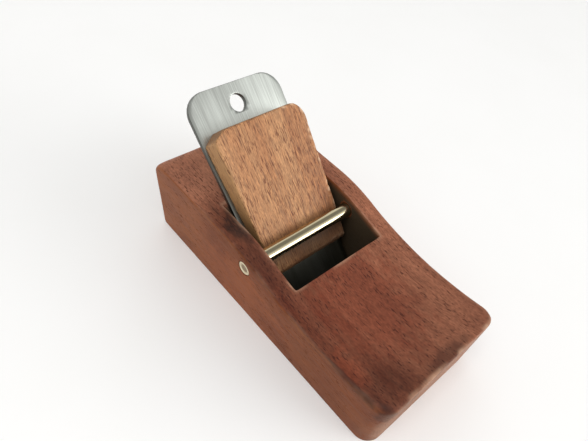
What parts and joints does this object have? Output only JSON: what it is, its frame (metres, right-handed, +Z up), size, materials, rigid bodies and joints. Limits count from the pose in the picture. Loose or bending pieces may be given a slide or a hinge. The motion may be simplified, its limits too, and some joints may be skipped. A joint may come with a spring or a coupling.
{
  "type": "hand plane",
  "caption": "Small wooden wedge-and-pin hand plane: S-curved hardwood block, sloped steel blade, tapered wooden wedge and round brass cross pin.",
  "frame": {"origin": "centre of the sole, under the middle of the block's length and width", "axes": "+X along the block towards the toe, +Y across it, +Z up from the sole"},
  "size_m": [0.1, 0.046, 0.0488],
  "materials": {
    "body_wood": "oiled dark red-brown hardwood, satin",
    "wedge_wood": "bare tan hardwood with dark pores",
    "blade_steel": "ground along its length",
    "pin_brass": "polished"
  },
  "bodies": {
    "stock": {"plane_body": "body_wood", "cross_pin": "pin_brass"},
    "iron": {"blade": "blade_steel"},
    "wedge": {"wedge": "wedge_wood"}
  },
  "joints": [
    {"name": "blade_slide", "type": "slide", "parent": "stock", "child": "iron", "axis": [-0.7071, 0, 0.7071], "range_m": [-0.0005, 0.038]},
    {"name": "wedge_slide", "type": "slide", "parent": "stock", "child": "wedge", "axis": [-0.7071, 0, 0.7071], "range_m": [0, 0.0235]}
  ]
}
